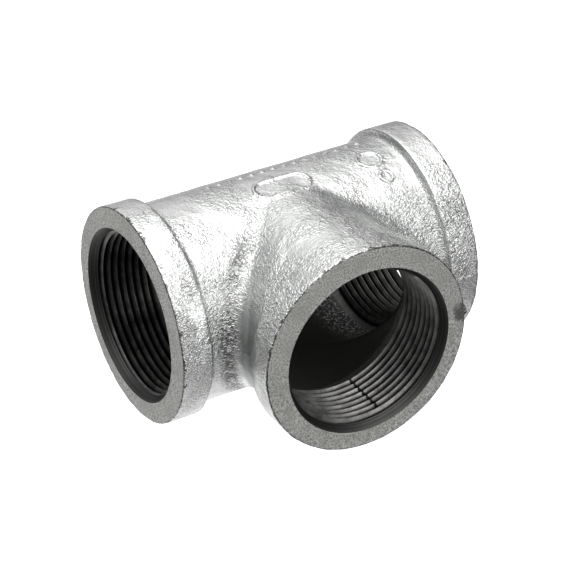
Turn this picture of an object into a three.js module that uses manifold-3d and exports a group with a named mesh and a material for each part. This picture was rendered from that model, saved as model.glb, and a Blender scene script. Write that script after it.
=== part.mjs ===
// A banded pipe tee with 2 1/2 inch taper pipe threads, cast in malleable iron and hot-dip galvanised.
// The real fitting is one casting, so the group holds one mesh. It is made in the order of the real
// work: the outer pattern with its raised marks, less the sand core of the waterway, less the bore of a
// countersink and the cut of a taper tap at each of the three ports.
//
// Millimetres, +Z up. The tee lies flat on its three bands, with the run along X and the branch towards
// -Y. The origin is on the resting surface, midway along the part each way.

import * as THREE from "three";
import { mergeVertices } from "three/addons/utils/BufferGeometryUtils.js";
import Module from "manifold-3d";

// The casting. Reaches are from the point where the three port axes cross to the faces of the ports.
const RUN_REACH = 68.6;
const BRANCH_REACH = 70.6;
const BODY_RADIUS = 42;
const BODY_FILLET = 8.5; // rolled along the two corners between the run and the branch
const BAND_RADIUS = 45.6; // the reinforcing band round each port
const BAND_WIDTH = 13.5;
const BAND_FOOT = 2.6; // hollow between the body and the back of a band
const BAND_SHOULDER = 1; // rounding of the band's back edge
const RIM_ROUND = 0.8; // rounding of the band's front edge
const WATERWAY_RADIUS = 36.2;
const WATERWAY_ROUND = 2.5; // rounding of the two corners of the waterway

// The thread, 2 1/2 - 8 NPT: 8 turns to the inch and a taper of 1 in 16 on the diameter.
const PITCH = 25.4 / 8;
const THREAD_HEIGHT = 0.8 * PITCH;
const PITCH_RADIUS = 70.159 / 2; // at the face
const TAPER = 1 / 32; // on the radius
const THREAD_LENGTH = 28.5; // from the face to the wider waterway behind the thread
const RECESS_SLOPE = 1.2; // length of the cone between the two
const MOUTH_RADIUS = 36.6;
const MOUTH_DEPTH = 5; // of the countersink
const GROOVE_START = 3.5; // depth at which the thread's groove starts in the countersink

// Raised marks on top of the run, where foundries cast theirs: a tablet with a bead round it, and a ring.
const MARK_HEIGHT = 0.7;
const MARK_LINE = 1.5;
const MARK_Y = -4.2;
const TABLET_LENGTH = 26;
const TABLET_WIDTH = 13;
const RING_RADIUS = 5.8;
const RING_X = 41;

// Fineness of the faceted surfaces.
const COLUMNS = 32; // round each arm, a multiple of 4
const ARC_STEPS = 1; // a small rounding has twice as many segments
const FILLET_STEPS = 3; // from an arm to the mitre, halfway round the body fillet
const BEAD_STEPS = 6; // setting of a raised mark's round ends
const CLEAR = 4; // how far a cutter runs past the face that it opens

// The arms of the tee. `side` points at the neighbouring arm, or at one of the two, and the third axis is
// at right angles to both, so that the same formulas serve every arm. `aside` is how far the countersink
// and the thread are off the casting's axis, and `groove` is the depth at which the thread's groove first
// passes the middle of the side.
const LEFT = new THREE.Vector3(-1, 0, 0);
const RIGHT = new THREE.Vector3(1, 0, 0);
const FRONT = new THREE.Vector3(0, -1, 0);
const ARMS = [
  { out: LEFT, side: FRONT, reach: RUN_REACH, neighbours: 1, aside: [0, 1.5, -0.8], groove: 2.2 },
  { out: RIGHT, side: FRONT, reach: RUN_REACH, neighbours: 1, aside: [0, 0, 0], groove: 2.2 },
  { out: FRONT, side: RIGHT, reach: BRANCH_REACH, neighbours: 2, aside: [0.9, 0, -1.2], groove: 0.65 },
];

const wasm = await Module();
wasm.setup();

// Triangles that together close a body.
class Surface {
  corners = [];

  // the quads between two rows of points
  strip(row, next) {
    for (let i = 0; i + 1 < row.length; i++) {
      this.corners.push(row[i], next[i], next[i + 1]);
      this.corners.push(row[i], next[i + 1], row[i + 1]);
    }
  }

  // a lid over a loop of points
  lid(middle, loop) {
    loop.forEach((point, i) => this.corners.push(middle, point, loop[(i + 1) % loop.length]));
  }

  solid() {
    return solidOf(new THREE.BufferGeometry().setFromPoints(this.corners));
  }
}

function solidOf(geometry) {
  geometry.deleteAttribute("normal");
  geometry.deleteAttribute("uv");
  const merged = mergeVertices(geometry);
  const triVerts = [];
  for (let i = 0; i < merged.index.count; i += 3) {
    const [a, b, c] = merged.index.array.subarray(i, i + 3);
    if (a !== b && b !== c && c !== a) triVerts.push(a, b, c);
  }
  const vertProperties = merged.attributes.position.array;
  const mesh = new wasm.Mesh({ numProp: 3, vertProperties, triVerts: Uint32Array.from(triVerts) });
  return new wasm.Manifold(mesh);
}

function geometryOf(solid) {
  const { vertProperties, triVerts } = solid.getMesh();
  const geometry = new THREE.BufferGeometry();
  geometry.setAttribute("position", new THREE.BufferAttribute(vertProperties, 3));
  geometry.setIndex(new THREE.BufferAttribute(triVerts, 1));
  const flat = geometry.toNonIndexed();
  flat.computeVertexNormals();
  return flat;
}

// The sum of an arm's three axes, each times a number.
function along(arm, out, side, up) {
  return new THREE.Vector3()
    .crossVectors(arm.out, arm.side)
    .multiplyScalar(up)
    .addScaledVector(arm.out, out)
    .addScaledVector(arm.side, side);
}

function armPoint(arm, out, angle, radius) {
  return along(arm, out, radius * Math.cos(angle), radius * Math.sin(angle));
}

function columnAngles() {
  return Array.from({ length: COLUMNS + 1 }, (_, i) => (2 * Math.PI * (i % COLUMNS)) / COLUMNS);
}

// A point on the rounding that a ball makes as it rolls along the corner of two crossing cylinders. `turn`
// is 0 on this arm's cylinder and 1 on the mitre between the arms. The rounding narrows to nothing straight
// above and below the crossing. A column that faces no neighbour runs straight on to the crossing.
function filletPoint(arm, angle, turn, radius, ball) {
  const facing = arm.neighbours === 2 ? Math.abs(Math.cos(angle)) : Math.cos(angle);
  if (facing < Number.EPSILON) return armPoint(arm, 0, angle, radius);
  const rise = Math.sin(angle);
  const arc = Math.acos(rise * rise);
  const fromThis = Math.sin((1 - turn / 2) * arc) / Math.sin(arc);
  const fromOther = Math.sin((turn / 2) * arc) / Math.sin(arc);
  const centre = (radius + ball) * facing;
  const out = centre - ball * facing * fromOther;
  const side = Math.sign(Math.cos(angle)) * (centre - ball * facing * fromThis);
  return along(arm, out, side, rise * (radius + ball - ball * (fromThis + fromOther)));
}

// A solid tee of the given radius and corner rounding. Each arm follows an outline of (out, radius) points
// from its end to where the rounding begins.
function teeSolid(radius, ball, outline) {
  const surface = new Surface();
  for (const arm of ARMS) {
    const profile = outline(arm);
    const rows = profile.map((p) => columnAngles().map((angle) => armPoint(arm, p.x, angle, p.y)));
    for (let step = 0; step <= FILLET_STEPS; step++) {
      const turn = step / FILLET_STEPS;
      rows.push(columnAngles().map((angle) => filletPoint(arm, angle, turn, radius, ball)));
    }
    rows.slice(1).forEach((row, i) => surface.strip(rows[i], row));
    surface.lid(armPoint(arm, profile[0].x, 0, 0), rows[0].slice(1));
  }
  return surface.solid();
}

function castingOutline(arm) {
  const back = arm.reach - BAND_WIDTH;
  const outline = new THREE.Path();
  outline.absarc(arm.reach - RIM_ROUND, BAND_RADIUS - RIM_ROUND, RIM_ROUND, 0, Math.PI / 2);
  outline.absarc(back + BAND_SHOULDER, BAND_RADIUS - BAND_SHOULDER, BAND_SHOULDER, Math.PI / 2, Math.PI);
  outline.absarc(back - BAND_FOOT, BODY_RADIUS + BAND_FOOT, BAND_FOOT, 0, -Math.PI / 2, true);
  return outline.getPoints(ARC_STEPS);
}

function coreOutline(arm) {
  const end = arm.reach - THREAD_LENGTH;
  const tip = new THREE.Vector2(end, threadRadius(THREAD_LENGTH) - THREAD_HEIGHT / 2);
  return [tip, new THREE.Vector2(end - RECESS_SLOPE, WATERWAY_RADIUS)];
}

// The skin that the raised marks reach up to, as far as the backs of the bands.
function markOutline(arm) {
  return [new THREE.Vector2(arm.reach - BAND_WIDTH - BAND_FOOT, BODY_RADIUS + MARK_HEIGHT)];
}

// Pitch radius of the thread at a depth below the face.
function threadRadius(depth) {
  return PITCH_RADIUS - depth * TAPER;
}

// The tap, as a solid right-hand screw that tapers inwards. From each turn of the crest a flank goes down
// to the root, and another comes up to the next turn of the crest. Both ends are then cut off square.
function tapSolid(arm) {
  const turns = Math.ceil(THREAD_LENGTH / PITCH) + 2;
  const last = turns * COLUMNS;
  const edge = (column, lag, height) => {
    const depth = arm.groove + (column / COLUMNS + lag - 1) * PITCH;
    const angle = (-2 * Math.PI * (column % COLUMNS)) / COLUMNS;
    return armPoint(arm, arm.reach - depth, angle, threadRadius(depth) + height);
  };
  const crest = Array.from({ length: last + COLUMNS + 1 }, (_, i) => edge(i, 0, THREAD_HEIGHT / 2));
  const root = Array.from({ length: last + 1 }, (_, i) => edge(i, 1 / 2, -THREAD_HEIGHT / 2));
  const surface = new Surface();
  surface.strip(root, crest.slice(0, last + 1));
  surface.strip(crest.slice(COLUMNS), root);
  const outer = armPoint(arm, arm.reach + CLEAR, 0, 0);
  surface.lid(outer, [root[0], ...crest.slice(0, COLUMNS + 1).reverse()]);
  const inner = armPoint(arm, arm.reach - (turns + 2) * PITCH, 0, 0);
  surface.lid(inner, [...crest.slice(last), root[last]]);
  return surface
    .solid()
    .trimByPlane(arm.out.toArray(), arm.reach - THREAD_LENGTH - RECESS_SLOPE / 4)
    .trimByPlane(arm.out.clone().negate().toArray(), GROOVE_START - arm.reach);
}

// The cone that opens the mouth of a port, down to just inside the crests of the thread.
function countersinkSolid(arm) {
  const tip = threadRadius(MOUTH_DEPTH) - THREAD_HEIGHT / 2;
  const slope = (MOUTH_RADIUS - tip) / MOUTH_DEPTH;
  const wide = MOUTH_RADIUS + slope * CLEAR;
  const outline = [
    new THREE.Vector2(0, -MOUTH_DEPTH),
    new THREE.Vector2(tip, -MOUTH_DEPTH),
    new THREE.Vector2(wide, CLEAR),
    new THREE.Vector2(0, CLEAR),
  ];
  const cone = new THREE.LatheGeometry(outline, COLUMNS);
  const turn = new THREE.Quaternion().setFromUnitVectors(new THREE.Vector3(0, 1, 0), arm.out);
  cone.applyQuaternion(turn).translate(...armPoint(arm, arm.reach, 0, 0));
  return solidOf(cone);
}

// A bead that follows an outline with round ends, standing up through the top of the run.
function beadSolid(x, length, width) {
  const outline = (inset) => {
    const half = (length - width) / 2;
    const radius = width / 2 - inset;
    const path = new THREE.Shape();
    path.absarc(x + half, MARK_Y, radius, -Math.PI / 2, Math.PI / 2);
    path.absarc(x - half, MARK_Y, radius, Math.PI / 2, (3 * Math.PI) / 2);
    return path;
  };
  const shape = outline(0);
  shape.holes.push(outline(MARK_LINE));
  const upright = { depth: BAND_RADIUS, bevelEnabled: false, curveSegments: BEAD_STEPS };
  return solidOf(new THREE.ExtrudeGeometry(shape, upright));
}

function teeBody() {
  const marks = beadSolid(0, TABLET_LENGTH, TABLET_WIDTH)
    .add(beadSolid(RING_X, 2 * RING_RADIUS, 2 * RING_RADIUS))
    .intersect(teeSolid(BODY_RADIUS + MARK_HEIGHT, BODY_FILLET - MARK_HEIGHT, markOutline));
  let casting = teeSolid(BODY_RADIUS, BODY_FILLET, castingOutline)
    .add(marks)
    .subtract(teeSolid(WATERWAY_RADIUS, WATERWAY_ROUND, coreOutline));
  for (const arm of ARMS) {
    casting = casting.subtract(countersinkSolid(arm).add(tapSolid(arm)).translate(arm.aside));
  }
  return casting;
}

const galvanisedIron = new THREE.MeshStandardMaterial({ color: 0xc4c7c6, roughness: 0.45, metalness: 0.9 });

const body = new THREE.Mesh(geometryOf(teeBody()), galvanisedIron);
body.name = "tee_body";
body.position.set(0, (BRANCH_REACH - BAND_RADIUS) / 2, BAND_RADIUS);

const tee = new THREE.Group();
tee.add(body);

export default tee;
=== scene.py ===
import math

import bmesh
import bpy
import numpy as np
from mathutils import Matrix, Vector, noise


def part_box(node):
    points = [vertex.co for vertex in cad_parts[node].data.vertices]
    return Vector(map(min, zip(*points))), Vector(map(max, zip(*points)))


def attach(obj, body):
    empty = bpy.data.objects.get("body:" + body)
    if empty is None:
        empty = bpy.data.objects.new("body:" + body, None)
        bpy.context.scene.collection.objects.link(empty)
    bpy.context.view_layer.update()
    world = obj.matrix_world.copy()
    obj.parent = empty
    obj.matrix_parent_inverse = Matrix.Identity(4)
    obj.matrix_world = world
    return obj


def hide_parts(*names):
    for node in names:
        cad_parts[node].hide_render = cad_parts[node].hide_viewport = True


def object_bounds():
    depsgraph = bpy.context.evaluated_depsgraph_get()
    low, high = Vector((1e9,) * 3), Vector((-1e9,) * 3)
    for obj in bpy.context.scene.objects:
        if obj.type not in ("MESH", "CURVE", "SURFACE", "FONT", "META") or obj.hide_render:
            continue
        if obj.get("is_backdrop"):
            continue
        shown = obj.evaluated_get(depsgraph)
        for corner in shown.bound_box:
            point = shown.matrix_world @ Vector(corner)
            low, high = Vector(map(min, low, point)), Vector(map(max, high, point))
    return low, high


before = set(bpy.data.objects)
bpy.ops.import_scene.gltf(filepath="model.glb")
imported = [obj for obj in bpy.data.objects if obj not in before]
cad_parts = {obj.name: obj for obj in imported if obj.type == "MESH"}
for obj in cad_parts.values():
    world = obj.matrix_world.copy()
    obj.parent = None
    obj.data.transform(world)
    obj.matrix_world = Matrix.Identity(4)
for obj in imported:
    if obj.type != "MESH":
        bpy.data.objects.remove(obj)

cad_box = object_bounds()

# --- The casting's outside -----------------------------------------------------------------------
# The fitting is one piece of malleable iron, poured in a sand mould whose two halves part at the
# height of the port axes. Three arms of one bore meet at a rolled fillet, and each ends in a heavier band.

MM = 0.001
low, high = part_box("tee_body")
BAND_RADIUS = (high.z - low.z) / 2
RUN_REACH = (high.x - low.x) / 2
BRANCH_REACH = high.y - low.y - BAND_RADIUS
CROSSING = np.array([(low.x + high.x) / 2, high.y - BAND_RADIUS, low.z + BAND_RADIUS])

BODY_RADIUS = 42 * MM
BODY_FILLET = 8.5 * MM
BAND_WIDTH = 13.5 * MM
BAND_FOOT = 2.6 * MM
BAND_SHOULDER = 1 * MM
RIM_ROUND = 0.8 * MM
BODY_ROWS = 52
BAND_ROWS = 9

# Columns of points run along each arm, closer together beside the parting plane. They are the same
# in every quarter of the turn, so that the columns of two arms meet point to point at a mitre.
QUARTER = np.radians([0, 0.45, 1.1, *np.linspace(2.2, 90, 46)])
HALF = np.concatenate([QUARTER, math.pi - QUARTER[-2::-1]])
ANGLES = np.concatenate([HALF, HALF[1:] + math.pi])
COS = np.round(np.cos(ANGLES), 12)
SIN = np.round(np.sin(ANGLES), 12)


class Arm:
    """One arm of the tee. Its points are (out, side, up), with `side` towards a neighbouring arm.

    `aside` is how far the countersink and the thread are off the casting's axis, along X, Y and Z in mm.
    `groove` is the depth in mm at which the thread's groove first passes the middle of the side.
    """

    def __init__(self, out, side, reach, neighbours, aside, groove):
        self.axes = np.array([out, side, np.cross(out, side)], float)
        self.reach = reach
        self.neighbours = neighbours
        self.aside = self.axes @ aside * MM
        self.groove = groove * MM

    def facing(self):
        """How squarely each column faces a neighbouring arm, from 0 to 1."""
        return np.abs(COS) if self.neighbours == 2 else np.maximum(COS, 0)


ARMS = [
    Arm((-1, 0, 0), (0, -1, 0), RUN_REACH, 1, (0, 1.5, -0.8), 2.2),
    Arm((1, 0, 0), (0, -1, 0), RUN_REACH, 1, (0, 0, 0), 2.2),
    Arm((0, -1, 0), (1, 0, 0), BRANCH_REACH, 2, (0.9, 0, -1.2), 0.65),
]


def ring(out, radius):
    """A row of points round an arm, one on each column."""
    out = np.broadcast_to(out, COS.shape)
    return np.stack([out, radius * COS, radius * SIN], axis=1)


def rings(profile):
    return [ring(out, radius) for out, radius in profile]


def arc(out, radius, size, start, end, steps):
    """Points of a profile along an arc round (out, radius), from one angle to another in degrees."""
    turn = np.radians(np.linspace(start, end, steps + 1))
    return list(zip(out + size * np.cos(turn), radius + size * np.sin(turn)))


def arm_skin(arm, radius, ball, start, count):
    """Evenly spaced rows from `start`, on the plain cylinder, to the arm's end at the crossing.

    On a column that faces a neighbour the end is the mitre, halfway round the surface of a ball that
    rolls along the corner between the two cylinders. Any other column ends at the crossing itself.
    """
    facing = arm.facing()
    rolled = facing > 0
    sweep = np.where(rolled, np.arccos(SIN**2), 1)
    corner = (radius + ball) * facing
    straight = start - corner
    length = straight + np.where(rolled, ball * sweep / 2, 0)
    rows = []
    for travel in np.linspace(0, 1, count)[:, None] * length:
        turned = np.where(rolled, np.maximum(travel - straight, 0) / ball, 0)
        to_this = np.sin(sweep - turned) / np.sin(sweep)
        to_other = np.sin(turned) / np.sin(sweep)
        out = corner - ball * facing * to_other + np.maximum(straight - travel, 0)
        side = np.sign(COS) * (corner - ball * facing * to_this)
        up = SIN * (radius + ball - ball * (to_this + to_other))
        curved = np.stack([out, side, up], axis=1)
        rows.append(np.where(rolled[:, None], curved, ring(start - travel, radius)))
    return rows


def outside_rows(arm):
    back = arm.reach - BAND_WIDTH
    body = arm_skin(arm, BODY_RADIUS, BODY_FILLET, back - BAND_FOOT, BODY_ROWS)
    foot = arc(back - BAND_FOOT, BODY_RADIUS + BAND_FOOT, BAND_FOOT, -90, 0, 6)
    shoulder = arc(back + BAND_SHOULDER, BAND_RADIUS - BAND_SHOULDER, BAND_SHOULDER, 180, 90, 3)
    rim = arc(arm.reach - RIM_ROUND, BAND_RADIUS - RIM_ROUND, RIM_ROUND, 90, 0, 3)
    across = np.linspace(shoulder[-1][0], rim[0][0], BAND_ROWS)[1:-1]
    band = [(out, BAND_RADIUS) for out in across]
    return body[::-1] + rings(foot[1:] + shoulder[1:] + band + rim)


# --- The ports -----------------------------------------------------------------------------------
# Each port is countersunk and then tapped after galvanising, so it is bare, oiled iron. The thread is a
# right-hand 2 1/2 - 8 taper pipe thread, with narrow flats on its ridges and in its grooves. A nick
# runs across the ridges of the branch's thread.

MOUTH_RADIUS = 36.6 * MM
MOUTH_EDGE = 0.25 * MM
MOUTH_DEPTH = 5 * MM
PITCH = 25.4 / 8 * MM
THREAD_HEIGHT = 0.8 * PITCH
PITCH_RADIUS = 70.159 / 2 * MM
TAPER = 1 / 32
GROOVE_START = 3.5 * MM
THREAD_LENGTH = 28.5 * MM
FLAT = 0.038  # width of a flat, in pitches
FLANK = 0.5 - FLAT  # width of a flank, in pitches
NICK_ANGLE = math.radians(284.5)
NICK_REACH = math.radians(1)  # to either side of its angle
NICK_START = 8 * MM
NICK_DEPTH = 0.15  # of the thread's height
FACE_ROWS = 8


def thread_radius(depth, groove):
    """`groove` is 0 on a ridge and 1 in a groove."""
    return PITCH_RADIUS - depth * TAPER + THREAD_HEIGHT * (groove - 0.5)


def countersink_radius(depth):
    tip = thread_radius(MOUTH_DEPTH, 0)
    return MOUTH_RADIUS - (MOUTH_RADIUS - tip) * depth / MOUTH_DEPTH


def bored_ring(arm, depth, radius):
    return ring(arm.reach - depth, radius) + arm.aside


def face_rows(arm):
    """Rows over the end face, from the casting's round rim to the mouth, which is a little off it."""
    mouth = countersink_radius(MOUTH_EDGE) + MOUTH_EDGE
    outer, inner = ring(arm.reach, BAND_RADIUS - RIM_ROUND), bored_ring(arm, 0, mouth)
    return [outer + (inner - outer) * share for share in np.linspace(0, 1, FACE_ROWS)[1:]]


def countersink_rows(arm):
    depths = [MOUTH_EDGE, GROOVE_START]
    return [bored_ring(arm, depth, countersink_radius(depth)) for depth in depths]


def thread_rows(arm):
    """Rows that follow the helix, six to a pitch, with how close each point is to a ridge.

    Four are the edges of the flats, and two are on the flanks. A point that would be past an end of the
    thread is drawn back to that end.
    """
    lead = arm.groove / PITCH - 0.5 - ANGLES / (2 * math.pi)
    nick_here = (arm.neighbours == 2) & (np.abs(ANGLES - NICK_ANGLE) < NICK_REACH)
    places = np.array([0, FLAT, FLAT + FLANK / 2, FLAT + FLANK, 1 - FLANK, 1 - FLANK / 2]) - FLAT / 2
    turns = math.ceil(THREAD_LENGTH / PITCH) + 2
    depths = [(turn + place + lead) * PITCH for turn in range(turns) for place in places]
    rows = []
    for depth in [GROOVE_START, *depths, THREAD_LENGTH]:
        depth = np.clip(depth, GROOVE_START, THREAD_LENGTH) + 0 * ANGLES
        away = np.abs((depth / PITCH - lead + 0.5) % 1 - 0.5)
        groove = np.clip((away - FLAT / 2) / FLANK, 0, 1)
        nick = nick_here & (depth > NICK_START)
        cut = np.maximum(groove, NICK_DEPTH * nick)
        radius = np.maximum(thread_radius(depth, cut), countersink_radius(depth))
        rows.append((bored_ring(arm, depth, radius), 1 - np.maximum(groove, nick)))
    return rows


# --- The waterway --------------------------------------------------------------------------------
# The core leaves three equal passages, a little wider than the thread, that meet at rounded corners.
# A short cone leads from each down to the end of the thread.

WATERWAY_RADIUS = 36.2 * MM
WATERWAY_ROUND = 2.5 * MM
RECESS_SLOPE = 1.2 * MM
WATERWAY_ROWS = 15


def waterway_rows(arm):
    start = arm.reach - THREAD_LENGTH - RECESS_SLOPE
    return arm_skin(arm, WATERWAY_RADIUS, WATERWAY_ROUND, start, WATERWAY_ROWS)


# --- The three arms as one closed skin -----------------------------------------------------------
# An arm's rows run from its outer mitre to its rim, over the face, and back in along the thread and
# the waterway. Points in the same place are joined, which closes the arms on each other.

ZINC, FACE, COUNTERSINK, THREAD, WATERWAY = range(5)
WELD = 1e-7  # metres
WELD_OFFSET = 0.31  # keeps round sizes off the boundaries between two cells


def arm_rows(arm):
    """Rows of (points, finish up to the next row, roughness of the casting, closeness to a ridge)."""
    none = np.zeros_like(ANGLES)
    rows = [(points, ZINC, 1, none) for points in outside_rows(arm)]
    rows[-1] = (rows[-1][0], FACE, 1, none)
    rows += [(points, FACE, 0.5, none) for points in face_rows(arm)]
    rows[-1] = (rows[-1][0], COUNTERSINK, 0.1, none)
    rows += [(points, COUNTERSINK, 0, none) for points in countersink_rows(arm)]
    rows[-1] = (rows[-1][0], THREAD, 0, none)
    rows += [(points, THREAD, 0, ridge) for points, ridge in thread_rows(arm)]
    rows += [(points, WATERWAY, 0.7, none) for points in waterway_rows(arm)]
    return rows


def closed_skin():
    points, quads, finishes, roughness, ridges, depths = [], [], [], [], [], []
    for arm in ARMS:
        rows = arm_rows(arm)
        columns = len(ANGLES)
        start = sum(map(len, points))
        at = start + np.arange(len(rows) * columns).reshape(len(rows), columns)
        corners = [at[:-1, :-1], at[:-1, 1:], at[1:, 1:], at[1:, :-1]]
        quads.append(np.stack(corners, axis=2).reshape(-1, 4))
        grid = np.concatenate([row[0] for row in rows])
        points.append(CROSSING + grid @ arm.axes)
        depths.append(arm.reach - grid[:, 0])
        finishes.append(np.repeat([row[1] for row in rows[:-1]], columns - 1))
        roughness.append(np.repeat([row[2] for row in rows], columns))
        ridges.append(np.concatenate([row[3] for row in rows]))
    points, quads = np.concatenate(points), np.concatenate(quads)
    cells = np.floor(points / WELD + WELD_OFFSET).astype(np.int64)
    _, kept, joined = np.unique(cells, axis=0, return_index=True, return_inverse=True)
    faces, face_finishes = [], []
    for quad, finish in zip(joined.ravel()[quads].tolist(), np.concatenate(finishes).tolist()):
        corners = [corner for i, corner in enumerate(quad) if corner != quad[i - 1]]
        if len(corners) > 2:
            faces.append(corners)
            face_finishes.append(finish)
    mesh = bpy.data.meshes.new("tee_casting")
    mesh.from_pydata(points[kept].tolist(), [], faces)
    mesh.polygons.foreach_set("material_index", face_finishes)
    for name, values in ("cast", roughness), ("ridge", ridges), ("depth", depths):
        values = np.concatenate(values)[kept]
        mesh.attributes.new(name, "FLOAT", "POINT").data.foreach_set("value", values)
    return mesh


# --- Raised marks --------------------------------------------------------------------------------
# Foundries cast their marks into the top of the body. Here they are plain: a tablet and two rings,
# each a raised bead round a blank middle, and a row of pips behind them.

MARK_HEIGHT = 0.7 * MM
MARK_LINE = 1.3 * MM
MARK_Y = -4.2 * MM
TABLET_LENGTH = 26 * MM
TABLET_WIDTH = 13 * MM
RINGS = np.array([(41, -4.2, 5.8), (42.3, -15.5, 3.3)]) * MM  # x, y and outer radius
PIPS = np.array([(x, 12.5) for x in range(-25, 48, 5)]) * MM
PIP_RADIUS = 1.1 * MM
PIP_HEIGHT = 0.5 * MM
MARK_MARGIN = 1 * MM  # of finer mesh round a mark


def mark_edges(x, y):
    """Distance outside the line of the nearest bead, and outside the nearest pip."""
    tablet = math.hypot(max(abs(x) - (TABLET_LENGTH - TABLET_WIDTH) / 2, 0), y - MARK_Y)
    tablet = abs(tablet - (TABLET_WIDTH - MARK_LINE) / 2)
    circles = [abs(math.hypot(x - a, y - b) - size + MARK_LINE / 2) for a, b, size in RINGS]
    return min(tablet, *circles), np.hypot(*(PIPS - (x, y)).T).min()


def dome(distance, radius):
    """Height of a half-round form, from 1 in its middle to 0 at its radius and beyond."""
    return math.sqrt(max(0, 1 - (distance / radius) ** 2))


def mark_height(spot):
    if spot.z < BODY_RADIUS / 2:
        return 0
    bead, pip = mark_edges(spot.x, spot.y)
    return MARK_HEIGHT * dome(bead, MARK_LINE * 0.6) + PIP_HEIGHT * dome(pip, PIP_RADIUS)


def by_a_mark(vert):
    spot = vert.co - Vector(CROSSING)
    if spot.z < BODY_RADIUS / 2 or math.hypot(spot.y, spot.z) > BODY_RADIUS + MM:
        return False
    bead, pip = mark_edges(spot.x, spot.y)
    return bead < MARK_LINE / 2 + MARK_MARGIN or pip < PIP_RADIUS + MARK_MARGIN


# --- The cast surface ----------------------------------------------------------------------------
# Sand and zinc leave a lumpy skin. The upper mould half sits a little behind the lower one. A thin fin
# of flash stands along the parting plane between them, with a nub of metal on it at the branch's rim.

INSET = 0.2 * MM  # how far the skin's middle level lies inside the nominal size
MISMATCH = 0.12 * MM  # of each mould half, along Y
PARTING = 0.3 * MM  # half the height of the band that the flash takes up
FLASH = 0.12 * MM
NUB = Vector(CROSSING) + Vector((45.2, -70, 3)) * MM
NUB_RADIUS = 2.2 * MM
NUB_HEIGHT = 1.3 * MM
MARK_CUTS = 2  # by which the mesh is finer round a mark
SHARP = math.radians(42)


def lumps(spot):
    swell = noise.noise(spot / (11 * MM))
    lump = noise.noise(spot / (4.3 * MM) + Vector((7, 0, 0)))
    pebble = noise.noise(spot / (1.9 * MM) + Vector((0, 7, 0)))
    return (0.14 * swell + 0.12 * lump + 0.09 * pebble) * MM


def flash(spot):
    patchy = 0.55 + 0.9 * noise.noise(spot / (5 * MM) + Vector((0, 0, 7)))
    return FLASH * max(patchy, 0) * math.exp(-((spot.z / PARTING) ** 2))


def roughen(work):
    """Moves the cast surfaces' points along their normals, though never past the nominal box."""
    cast = work.verts.layers.float["cast"]
    for vert in work.verts:
        amount = vert[cast]
        if amount == 0:
            continue
        spot = vert.co - Vector(CROSSING)
        level = amount * (lumps(spot) + flash(spot)) + min(amount * 2, 1) * (mark_height(spot) - INSET)
        level += NUB_HEIGHT * amount * dome((vert.co - NUB).length, NUB_RADIUS)
        slip = min(amount * 2, 1) * MISMATCH * math.tanh(spot.z / PARTING)
        moved = vert.co + vert.normal * level + Vector((0, slip, 0))
        vert.co = [min(max(m, a), b) for m, a, b in zip(moved, low, high)]


mesh = closed_skin()
work = bmesh.new()
work.from_mesh(mesh)
fine = [edge for edge in work.edges if all(map(by_a_mark, edge.verts))]
bmesh.ops.subdivide_edges(work, edges=fine, cuts=MARK_CUTS, use_grid_fill=True)
bmesh.ops.triangulate(work, faces=[face for face in work.faces if len(face.verts) > 4])
work.normal_update()
roughen(work)
work.to_mesh(mesh)
work.free()
mesh.shade_smooth()
mesh.set_sharp_from_angle(angle=SHARP)

casting = bpy.data.objects.new("tee_casting", mesh)
bpy.context.scene.collection.objects.link(casting)
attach(casting, "root")
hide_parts("tee_body")


# --- Finishes ------------------------------------------------------------------------------------
# The skin and the faces are hot-dip zinc over sand-cast iron. The tapped ports are bare iron, dark with
# cutting oil and with painted shade, and the waterway is rough and dark with oil and painted shade, with
# flecks of zinc beside the run's threads.


class Level:
    """A value that varies over a surface, as a node's output, with arithmetic."""

    def __init__(self, nodes, socket):
        self.nodes = nodes
        self.socket = socket

    def maths(self, operation, *others):
        return self.nodes.add("Math", {"operation": operation}, dict(enumerate((self, *others))))

    def __add__(self, other):
        return self.maths("ADD", other)

    def __sub__(self, other):
        return self.maths("SUBTRACT", other)

    def __rsub__(self, other):
        return self.maths("MULTIPLY_ADD", -1, other)

    def __mul__(self, other):
        return self.maths("MULTIPLY", other)

    def __truediv__(self, other):
        return self.maths("DIVIDE", other)

    __radd__ = __add__
    __rmul__ = __mul__

    def between(self, start, end):
        """0 below start, 1 above end, and smooth in between."""
        sockets = {"Value": self, "From Min": start, "From Max": end}
        return self.nodes.add("MapRange", {"interpolation_type": "SMOOTHSTEP"}, sockets)


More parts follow.
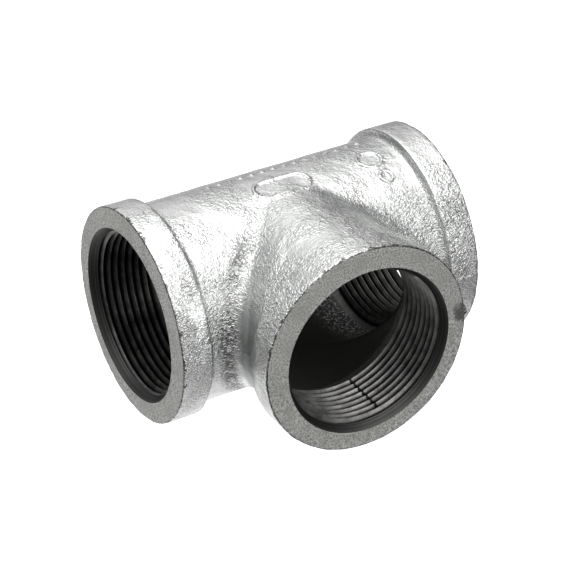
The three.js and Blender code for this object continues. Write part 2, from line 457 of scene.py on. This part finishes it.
class Nodes:
    """The nodes of one material or world."""

    def __init__(self, owner):
        owner.use_nodes = True
        self.owner = owner
        self.tree = owner.node_tree
        self.tree.nodes.clear()

    def add(self, kind, settings=None, sockets=None, output=0):
        made = self.tree.nodes.new("ShaderNode" + kind)
        for name, value in (settings or {}).items():
            setattr(made, name, value)
        for name, value in (sockets or {}).items():
            if isinstance(value, Level):
                self.tree.links.new(value.socket, made.inputs[name])
            else:
                made.inputs[name].default_value = value
        return Level(self, made.outputs[output])

    def spot(self):
        return self.add("TexCoord", output="Object")

    def noise(self, size, detail=2, roughness=0.5, distortion=0, squash=1):
        """Noise from 0 to 1 with features of about `size` metres, `squash` times wider than tall."""
        spot = self.add("Mapping", {}, {"Vector": self.spot(), "Scale": (1, 1, squash)})
        sockets = {"Vector": spot, "Scale": 1 / size, "Detail": detail}
        sockets |= {"Roughness": roughness, "Distortion": distortion}
        return self.add("TexNoise", {}, sockets)

    def parts(self, vector):
        return [self.add("SeparateXYZ", {}, {"Vector": vector}, output=axis) for axis in "XYZ"]

    def from_crossing(self):
        return [part - float(middle) for part, middle in zip(self.parts(self.spot()), CROSSING)]

    def inner_corner(self, aside, start, end):
        """A strip beside the line where two arms roll into each other, in front of the crossing.

        Its middle is `aside` off that line, towards the run, or towards the branch if that is negative.
        It is 1 up to `start` from its middle, and 0 past `end`.
        """
        along, back, _ = self.from_crossing()
        off = (along.maths("ABSOLUTE") + back - aside).maths("ABSOLUTE")
        return (1 - off.between(start, end)) * (1 - back.between(-30 * MM, -15 * MM))

    def attribute(self, name):
        return self.add("Attribute", {"attribute_name": name}, output="Fac")

    def mix(self, share, first, second):
        sockets = {"Factor": share, 6: (*first, 1) if isinstance(first, tuple) else first}
        sockets[7] = (*second, 1) if isinstance(second, tuple) else second
        return self.add("Mix", {"data_type": "RGBA"}, sockets, output=2)

    def surface(self, color, roughness, metallic, height, depth):
        """The finished shader, with bumps `depth` metres deep where height goes from 0 to 1."""
        bump = self.add("Bump", {}, {"Height": height, "Strength": 1, "Distance": depth})
        sockets = {"Base Color": color, "Roughness": roughness, "Metallic": metallic, "Normal": bump}
        return self.finish("Material", self.add("BsdfPrincipled", {}, sockets))

    def finish(self, kind, shader):
        made = self.tree.nodes.new("ShaderNodeOutput" + kind)
        self.tree.links.new(shader.socket, made.inputs["Surface"])
        return self.owner


def zinc_skin():
    """Wrinkled zinc: swollen folds with painted shade in the creases between them, and dark ragged edges
    at the faces.

    The creases are faint on the crown and below the parting plane. Beside an inner corner they are
    gathered on the run and darkened there with painted shade, and all but gone on the branch, where the
    zinc is duller and greyed with painted shade, more so lower down.
    """
    nodes = Nodes(bpy.data.materials.new("galvanised_skin"))
    folds = nodes.noise(1.4 * MM, detail=1.5, distortion=1, squash=1.7)
    dull = nodes.noise(14 * MM, detail=3).between(0.35, 0.65)
    up = nodes.from_crossing()[2]
    crown = up.between(30 * MM, 39 * MM)
    under = 1 - up.between(-2 * MM, 1 * MM)
    corner = nodes.inner_corner(-9 * MM, 4 * MM, 9 * MM) * (1 - 0.6 * up.between(12 * MM, 22 * MM))
    gathered = nodes.inner_corner(5 * MM, 1 * MM, 7 * MM) * (1 - 0.5 * up.between(5 * MM, 18 * MM))
    calm = (1 - 0.5 * under - 0.8 * corner) * (1 - 0.5 * crown)
    rough = calm * (0.35 + dull + 0.7 * gathered)
    color = nodes.mix(dull, (0.82, 0.83, 0.82), (0.76, 0.77, 0.76))
    # Painted shade: the branch side of the inner corner is greyed, more so lower down.
    color = nodes.mix(corner * 0.9, color, (0.43, 0.45, 0.44))
    # Painted shade: the gathered creases on the run's side of the inner corner are darkened nearly to
    # black.
    color = nodes.mix(gathered * (1 - folds.between(0.44, 0.66)) * 0.9, color, (0.09, 0.09, 0.087))
    # Painted shade: the creases between the folds are darkened, more where the folds are rougher.
    color = nodes.mix((1 - folds.between(0.3, 0.42)) * rough * 0.4, color, (0.25, 0.25, 0.24))
    ragged = nodes.noise(3.5 * MM, detail=3).between(0.52, 0.7)
    edge = 1 - (nodes.attribute("depth") - 1.4 * MM * ragged).between(0.15 * MM, 0.75 * MM)
    edge *= folds.between(0.38, 0.48)
    color = nodes.mix(edge * 0.9, color, (0.07, 0.07, 0.065))
    roughness = 0.14 + 0.08 * dull + 0.2 * corner
    return nodes.surface(color, roughness, 0.95, rough * folds, 0.85 * MM)


def zinc_face():
    """Granular zinc, in lighter and darker patches, and darker round the nub."""
    nodes = Nodes(bpy.data.materials.new("galvanised_face"))
    grain = nodes.noise(0.75 * MM, detail=3, roughness=0.7)
    lump = nodes.noise(2.6 * MM, detail=2)
    patches = nodes.noise(9 * MM, detail=2)
    color = nodes.mix(grain.between(0.3, 0.66), (0.32, 0.32, 0.305), (0.98, 0.98, 0.94))
    color = nodes.mix(patches.between(0.45, 0.7) * 0.5, color, (0.55, 0.55, 0.52))
    ends = {0: nodes.spot(), 1: NUB}
    from_nub = nodes.add("VectorMath", {"operation": "DISTANCE"}, ends, output="Value")
    darker_round_nub = 1 - (from_nub + 6 * MM * lump).between(6 * MM, 9 * MM)
    # The face is darkened round the nub.
    color = nodes.mix(darker_round_nub * 0.8, color, (0.07, 0.07, 0.067))
    return nodes.surface(color, 0.45, 0.6, 0.6 * grain + 0.4 * lump, 1.3 * MM)


def countersunk_iron():
    """Iron with the fine lines of turning round it, dark with oil and with painted shade in the port."""
    nodes = Nodes(bpy.data.materials.new("countersunk_iron"))
    sockets = {"W": nodes.attribute("depth") / (0.5 * MM), "Scale": 1, "Detail": 2}
    lines = nodes.add("TexNoise", {"noise_dimensions": "1D"}, sockets)
    smears = nodes.noise(4 * MM, detail=3)
    # The countersink's near-black tones are partly painted shade inside the port.
    color = nodes.mix(lines.between(0.35, 0.65), (0.05, 0.049, 0.048), (0.10, 0.098, 0.096))
    return nodes.surface(color, 0.34 + 0.14 * smears, 0.9, 0.7 * lines + 0.3 * smears, 0.12 * MM)


def threaded_iron():
    """Iron that is bright on the ridges and black in the grooves, with oil and with painted shade."""
    nodes = Nodes(bpy.data.materials.new("threaded_iron"))
    ridge = nodes.attribute("ridge").between(0.1, 0.7)
    smears = nodes.noise(5 * MM, detail=3)
    grain = nodes.noise(0.4 * MM, detail=2)
    bright = nodes.mix(smears.between(0.25, 0.75), (0.15, 0.147, 0.144), (0.35, 0.345, 0.34))
    # The grooves' near black is oil and painted shade, deepest where a groove is deepest.
    color = nodes.mix(ridge, (0.008, 0.008, 0.008), bright)
    return nodes.surface(color, 0.24 + 0.1 * smears, 0.9, 0.7 * grain + 0.3 * smears, 0.12 * MM)


def waterway_iron():
    """Rough iron, dark with oil and with painted shade, the shade lighter just behind each thread, with
    flecks of zinc near the run's threads.
    """
    nodes = Nodes(bpy.data.materials.new("waterway_iron"))
    lump = nodes.noise(1.4 * MM, detail=3, roughness=0.6)
    along, back, _ = nodes.from_crossing()
    depth = nodes.attribute("depth")
    shoulder = 1 - depth.between(32.5 * MM, 34 * MM)
    by_thread = along.maths("ABSOLUTE").between(20 * MM, 28 * MM) * back.between(-28 * MM, -14 * MM)
    flecks = nodes.noise(MM, detail=3, roughness=0.65).between(0.51, 0.6) * by_thread * (1 - shoulder)
    # Painted shade: the waterway is darker further in than on the shoulder behind each thread.
    color = nodes.mix(shoulder, (0.13, 0.127, 0.124), (0.3, 0.295, 0.29))
    color = nodes.mix(flecks, color, (0.9, 0.9, 0.89))
    height = 0.6 * lump + 0.4 * flecks
    return nodes.surface(color, 0.42 - 0.1 * flecks, 0.8 - 0.7 * flecks, height, 0.5 * MM)


for finish in zinc_skin, zinc_face, countersunk_iron, threaded_iron, waterway_iron:
    mesh.materials.append(finish())

# --- The table, the lights and the camera --------------------------------------------------------
# The fitting lies on a glowing white table, under two soft lights, in a bright room that is dimmer to
# the left and right. The table gives the fitting no light: the room's lower part does that instead.

TABLE_REACH = 3  # metres from the middle to each side
table = bpy.data.meshes.new("table")
corners = [(-1, -1), (1, -1), (1, 1), (-1, 1)]
table.from_pydata([(x * TABLE_REACH, y * TABLE_REACH, low.z) for x, y in corners], [], [(0, 1, 2, 3)])
floor = bpy.data.objects.new("table", table)
floor.visible_glossy = False
floor.visible_diffuse = False
bpy.context.scene.collection.objects.link(floor)
floor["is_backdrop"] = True

paper = Nodes(bpy.data.materials.new("white_table"))
glow = {"Base Color": (0.8, 0.8, 0.8, 1), "Roughness": 0.9}
glow |= {"Emission Color": (1, 1, 1, 1), "Emission Strength": 1}
table.materials.append(paper.finish("Material", paper.add("BsdfPrincipled", {}, glow)))

room = Nodes(bpy.data.worlds.new("studio"))
x, y, z = room.parts(room.add("TexCoord", output="Generated"))
dim_left = (1 - x.between(-0.5, 0.25)) * (1 - z.between(0.6, 0.9))
dim_right = x.between(0.3, 0.7) * (1 - z.between(0.75, 0.95))
walls = (0.38 + 0.51 * z.between(-0.15, 0.45)) * (1 - 0.65 * dim_left) * (1 - 0.75 * dim_right)
ceiling = 0.6 * z.between(0.55, 0.85)
straight_down = 0.4 * (1 - z.between(-0.95, -0.7))
low_behind = 0.65 * y.between(0, 0.7) * (1 - z.between(-0.45, -0.1))
brightness = walls + (ceiling + straight_down) + low_behind
bpy.context.scene.world = room.finish("World", room.add("Background", {}, {"Color": brightness}))


def softbox(name, place, width, height, watts):
    """A rectangular soft light that faces the fitting."""
    light = bpy.data.lights.new(name, "AREA")
    light.shape = "RECTANGLE"
    light.size, light.size_y, light.energy = width, height, watts
    lamp = bpy.data.objects.new(name, light)
    lamp.location = place
    aim = Vector(CROSSING) - lamp.location
    lamp.rotation_euler = aim.to_track_quat("-Z", "Y").to_euler()
    bpy.context.scene.collection.objects.link(lamp)


softbox("overhead", (0.0, 0.1, 1.3), 0.9, 0.7, 3)
softbox("front", (0.35, -1.4, 0.42), 0.9, 0.5, 2.4)

bpy.context.scene.view_settings.view_transform = "Standard"

AZIMUTH = math.radians(-29.21)
ELEVATION = math.radians(31.90)
ROLL = math.radians(-1.125)
LENS = 166.6
DISTANCE = 16 * RUN_REACH
ASIDE = 0.0553 * RUN_REACH
ABOVE = -0.1124 * RUN_REACH

level = math.cos(ELEVATION)
back = Vector((math.sin(AZIMUTH) * level, -math.cos(AZIMUTH) * level, math.sin(ELEVATION)))
across = Vector((0, 0, 1)).cross(back).normalized()
upward = back.cross(across)
right = across * math.cos(ROLL) + upward * math.sin(ROLL)
top = upward * math.cos(ROLL) - across * math.sin(ROLL)
place = Vector(CROSSING) + back * DISTANCE + right * ASIDE + top * ABOVE

camera = bpy.data.objects.new("camera", bpy.data.cameras.new("camera"))
camera.data.lens = LENS
camera.data.clip_end = 20
camera.matrix_world = Matrix.Translation(place) @ Matrix((right, top, back)).transposed().to_4x4()
bpy.context.scene.collection.objects.link(camera)
bpy.context.scene.camera = camera

boxes = {"cad": cad_box, "visual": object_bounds()}
{name: [list(corner) for corner in box] for name, box in boxes.items()}
